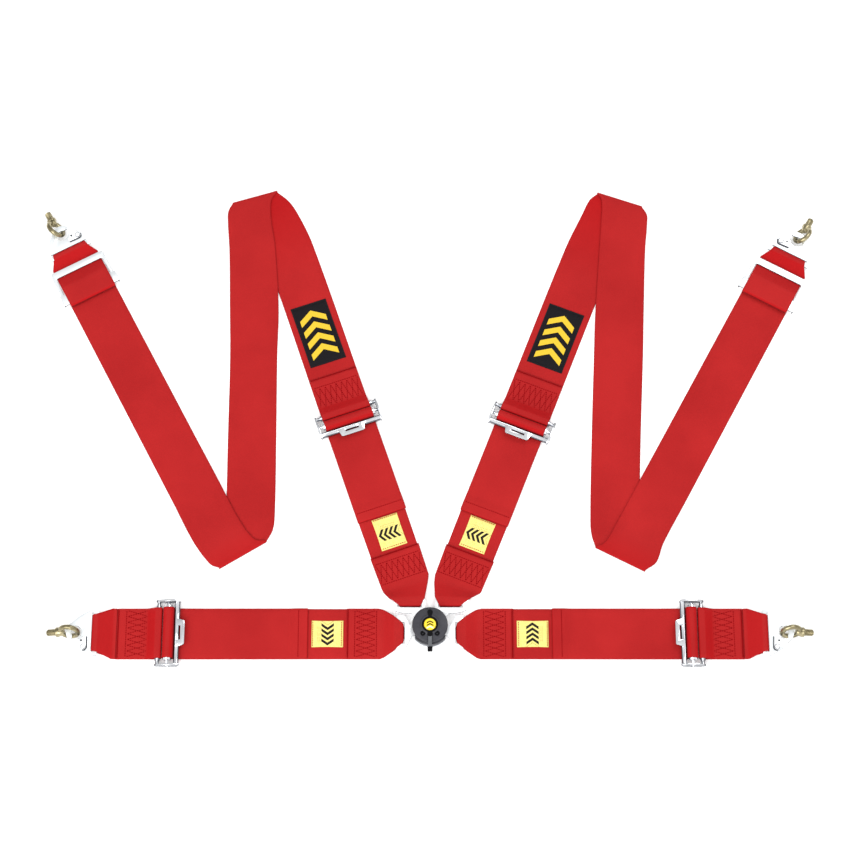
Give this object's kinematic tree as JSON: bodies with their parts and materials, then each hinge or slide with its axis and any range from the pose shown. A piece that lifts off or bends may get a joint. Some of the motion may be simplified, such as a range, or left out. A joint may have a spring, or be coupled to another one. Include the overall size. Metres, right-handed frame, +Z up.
{
  "type": "racing harness",
  "caption": "Flat-laid racing harness: lap and shoulder webbing with a rotary cam-lock buckle, tilt-lock adjusters, slides and snap hooks on eye bolts.",
  "frame": {"origin": "centre of the buckle's back face, on the plane the harness is laid on", "axes": "+X from the left lap strap to the right lap strap, +Y towards the shoulder straps, +Z up out of the knob"},
  "size_m": [1.2068, 0.7615, 0.0322],
  "materials": {
    "webbing": "woven polyester, ribbed",
    "patch": "woven, matte",
    "label": "woven, satin",
    "chrome": "polished",
    "bright_zinc": "bright plated",
    "gold_zinc": "yellow passivated",
    "dark_plastic": "moulded, satin",
    "badge": "gloss",
    "steel": "plain"
  },
  "bodies": {
    "buckle": {"buckle_base_plate": "steel", "buckle_housing": "dark_plastic", "spindle": "steel", "return_spring": "steel", "fixed_tongue_pin": "steel", "tongue_lap_left": "bright_zinc", "webbing_lap_left_inner": "webbing", "webbing_lap_left_outer": "webbing", "label_lap_left": "label", "adjuster_grip_bar_lap_left": "chrome"},
    "knob": {"rotary_knob": "dark_plastic", "centre_badge": "badge", "knob_screw_1": "steel", "knob_screw_2": "steel", "knob_screw_3": "steel", "release_lever": "dark_plastic"},
    "lap_right": {"tongue_lap_right": "bright_zinc", "webbing_lap_right_inner": "webbing", "webbing_lap_right_outer": "webbing", "label_lap_right": "label", "adjuster_grip_bar_lap_right": "chrome"},
    "shoulder_left": {"tongue_shoulder_left": "bright_zinc", "webbing_shoulder_left_lower": "webbing", "label_shoulder_left": "label", "adjuster_grip_bar_shoulder_left": "chrome", "webbing_shoulder_left_main": "webbing", "patch_shoulder_left": "patch", "slide_frame_shoulder_left": "bright_zinc"},
    "shoulder_right": {"tongue_shoulder_right": "bright_zinc", "webbing_shoulder_right_lower": "webbing", "label_shoulder_right": "label", "adjuster_grip_bar_shoulder_right": "chrome", "webbing_shoulder_right_main": "webbing", "patch_shoulder_right": "patch", "slide_frame_shoulder_right": "bright_zinc"},
    "plunger_shoulder_left": {"locking_plunger_shoulder_left": "steel"},
    "plunger_shoulder_right": {"locking_plunger_shoulder_right": "steel"},
    "plunger_lap_right": {"locking_plunger_lap_right": "steel"},
    "adjuster_lap_left": {"adjuster_frame_lap_left": "chrome"},
    "hook_lap_left": {"hook_plate_lap_left": "bright_zinc", "latch_rivet_lap_left": "steel"},
    "latch_lap_left": {"hook_latch_lap_left": "bright_zinc"},
    "eye_bolt_lap_left": {"eye_bolt_lap_left": "gold_zinc"},
    "adjuster_lap_right": {"adjuster_frame_lap_right": "chrome"},
    "hook_lap_right": {"hook_plate_lap_right": "bright_zinc", "latch_rivet_lap_right": "steel"},
    "latch_lap_right": {"hook_latch_lap_right": "bright_zinc"},
    "eye_bolt_lap_right": {"eye_bolt_lap_right": "gold_zinc"},
    "adjuster_shoulder_left": {"adjuster_frame_shoulder_left": "chrome"},
    "hook_shoulder_left": {"hook_plate_shoulder_left": "bright_zinc", "latch_rivet_shoulder_left": "steel"},
    "latch_shoulder_left": {"hook_latch_shoulder_left": "bright_zinc"},
    "eye_bolt_shoulder_left": {"eye_bolt_shoulder_left": "gold_zinc"},
    "adjuster_shoulder_right": {"adjuster_frame_shoulder_right": "chrome"},
    "hook_shoulder_right": {"hook_plate_shoulder_right": "bright_zinc", "latch_rivet_shoulder_right": "steel"},
    "latch_shoulder_right": {"hook_latch_shoulder_right": "bright_zinc"},
    "eye_bolt_shoulder_right": {"eye_bolt_shoulder_right": "gold_zinc"},
    "slide_bar_left": {"slide_bar_shoulder_left": "steel"},
    "slide_bar_right": {"slide_bar_shoulder_right": "steel"}
  },
  "joints": [
    {"name": "knob_turn", "type": "hinge", "parent": "buckle", "child": "knob", "pos_m": [0, 0, 0.019], "axis": [0, 0, 1], "range_deg": [0, 40], "stiffness_Nm_per_rad": 0.25, "springref_deg": -14.32},
    {"name": "plunger_shoulder_left_lift", "type": "slide", "parent": "buckle", "child": "plunger_shoulder_left", "axis": [0, 0, 1], "range_m": [0, 0.004]},
    {"name": "shoulder_left_release", "type": "slide", "parent": "buckle", "child": "shoulder_left", "axis": [-0.6428, 0.766, 0], "range_m": [0, 0.035]},
    {"name": "plunger_shoulder_right_lift", "type": "slide", "parent": "buckle", "child": "plunger_shoulder_right", "axis": [0, 0, 1], "range_m": [0, 0.004]},
    {"name": "shoulder_right_release", "type": "slide", "parent": "buckle", "child": "shoulder_right", "axis": [0.6428, 0.766, 0], "range_m": [0, 0.035]},
    {"name": "plunger_lap_right_lift", "type": "slide", "parent": "buckle", "child": "plunger_lap_right", "axis": [0, 0, 1], "range_m": [0, 0.004]},
    {"name": "lap_right_release", "type": "slide", "parent": "buckle", "child": "lap_right", "axis": [0.9781, -0.2079, 0], "range_m": [0, 0.035]},
    {"name": "adjuster_lap_left_tilt", "type": "hinge", "parent": "buckle", "child": "adjuster_lap_left", "pos_m": [-0.4001, -0.01, 0.0064], "axis": [0, -1, 0], "range_deg": [0, 24]},
    {"name": "hook_lap_left_tilt", "type": "hinge", "parent": "buckle", "child": "hook_lap_left", "pos_m": [-0.4923, -0.01, 0.0083], "axis": [0, 1, 0], "range_deg": [0, 60]},
    {"name": "latch_lap_left_swing", "type": "hinge", "parent": "hook_lap_left", "child": "latch_lap_left", "pos_m": [-0.50892, -0.0316, 0.01397], "axis": [0.1564, 0, 0.9877], "range_deg": [0, 25], "stiffness_Nm_per_rad": 0.02, "springref_deg": -20.05},
    {"name": "eye_bolt_lap_left_swivel", "type": "hinge", "parent": "hook_lap_left", "child": "eye_bolt_lap_left", "pos_m": [-0.51768, -0.0117, 0.01232], "axis": [0.1564, 0, 0.9877], "range_deg": [-20, 20]},
    {"name": "adjuster_lap_right_tilt", "type": "hinge", "parent": "lap_right", "child": "adjuster_lap_right", "pos_m": [0.4001, -0.01, 0.0064], "axis": [0, 1, 0], "range_deg": [0, 24]},
    {"name": "hook_lap_right_tilt", "type": "hinge", "parent": "lap_right", "child": "hook_lap_right", "pos_m": [0.4923, -0.01, 0.0083], "axis": [0, -1, 0], "range_deg": [0, 60]},
    {"name": "latch_lap_right_swing", "type": "hinge", "parent": "hook_lap_right", "child": "latch_lap_right", "pos_m": [0.50892, -0.0316, 0.01397], "axis": [0.1564, 0, -0.9877], "range_deg": [0, 25], "stiffness_Nm_per_rad": 0.02, "springref_deg": -20.05},
    {"name": "eye_bolt_lap_right_swivel", "type": "hinge", "parent": "hook_lap_right", "child": "eye_bolt_lap_right", "pos_m": [0.51768, -0.0117, 0.01232], "axis": [-0.1564, 0, 0.9877], "range_deg": [-20, 20]},
    {"name": "adjuster_shoulder_left_tilt", "type": "hinge", "parent": "shoulder_left", "child": "adjuster_shoulder_left", "pos_m": [-0.12847, 0.33503, 0.0064], "axis": [-0.9455, -0.3256, 0], "range_deg": [0, 24]},
    {"name": "hook_shoulder_left_tilt", "type": "hinge", "parent": "shoulder_left", "child": "hook_shoulder_left", "pos_m": [-0.56171, 0.59763, 0.0083], "axis": [0.8809, 0.4733, 0], "range_deg": [0, 60]},
    {"name": "latch_shoulder_left_swing", "type": "hinge", "parent": "hook_shoulder_left", "child": "latch_shoulder_left", "pos_m": [-0.55055, 0.62249, 0.01397], "axis": [-0.074, 0.1378, -0.9877], "range_deg": [0, 25], "stiffness_Nm_per_rad": 0.02, "springref_deg": -20.05},
    {"name": "eye_bolt_shoulder_left_swivel", "type": "hinge", "parent": "hook_shoulder_left", "child": "eye_bolt_shoulder_left", "pos_m": [-0.57557, 0.62259, 0.01282], "axis": [0.074, -0.1378, 0.9877], "range_deg": [-20, 20]},
    {"name": "adjuster_shoulder_right_tilt", "type": "hinge", "parent": "shoulder_right", "child": "adjuster_shoulder_right", "pos_m": [0.14444, 0.32855, 0.0064], "axis": [-0.9311, 0.3649, 0], "range_deg": [0, 24]},
    {"name": "hook_shoulder_right_tilt", "type": "hinge", "parent": "shoulder_right", "child": "hook_shoulder_right", "pos_m": [0.55847, 0.58746, 0.0083], "axis": [0.876, -0.4824, 0], "range_deg": [0, 60]},
    {"name": "latch_shoulder_right_swing", "type": "hinge", "parent": "hook_shoulder_right", "child": "latch_shoulder_right", "pos_m": [0.54757, 0.61244, 0.01397], "axis": [-0.0755, -0.137, 0.9877], "range_deg": [0, 25], "stiffness_Nm_per_rad": 0.02, "springref_deg": -20.05},
    {"name": "eye_bolt_shoulder_right_swivel", "type": "hinge", "parent": "hook_shoulder_right", "child": "eye_bolt_shoulder_right", "pos_m": [0.57259, 0.61227, 0.01282], "axis": [-0.0755, -0.137, 0.9877], "range_deg": [-20, 20]},
    {"name": "slide_bar_left_slide", "type": "slide", "parent": "shoulder_left", "child": "slide_bar_left", "axis": [-0.4733, 0.8809, 0], "range_m": [0, 0.006]},
    {"name": "slide_bar_right_slide", "type": "slide", "parent": "shoulder_right", "child": "slide_bar_right", "axis": [0.4824, 0.876, 0], "range_m": [0, 0.006]}
  ],
  "couplings": [
    {"joint": "plunger_shoulder_left_lift", "follows": "knob_turn", "m_per_rad": 0.00573},
    {"joint": "plunger_shoulder_right_lift", "follows": "knob_turn", "m_per_rad": 0.00573},
    {"joint": "plunger_lap_right_lift", "follows": "knob_turn", "m_per_rad": 0.00573}
  ]
}
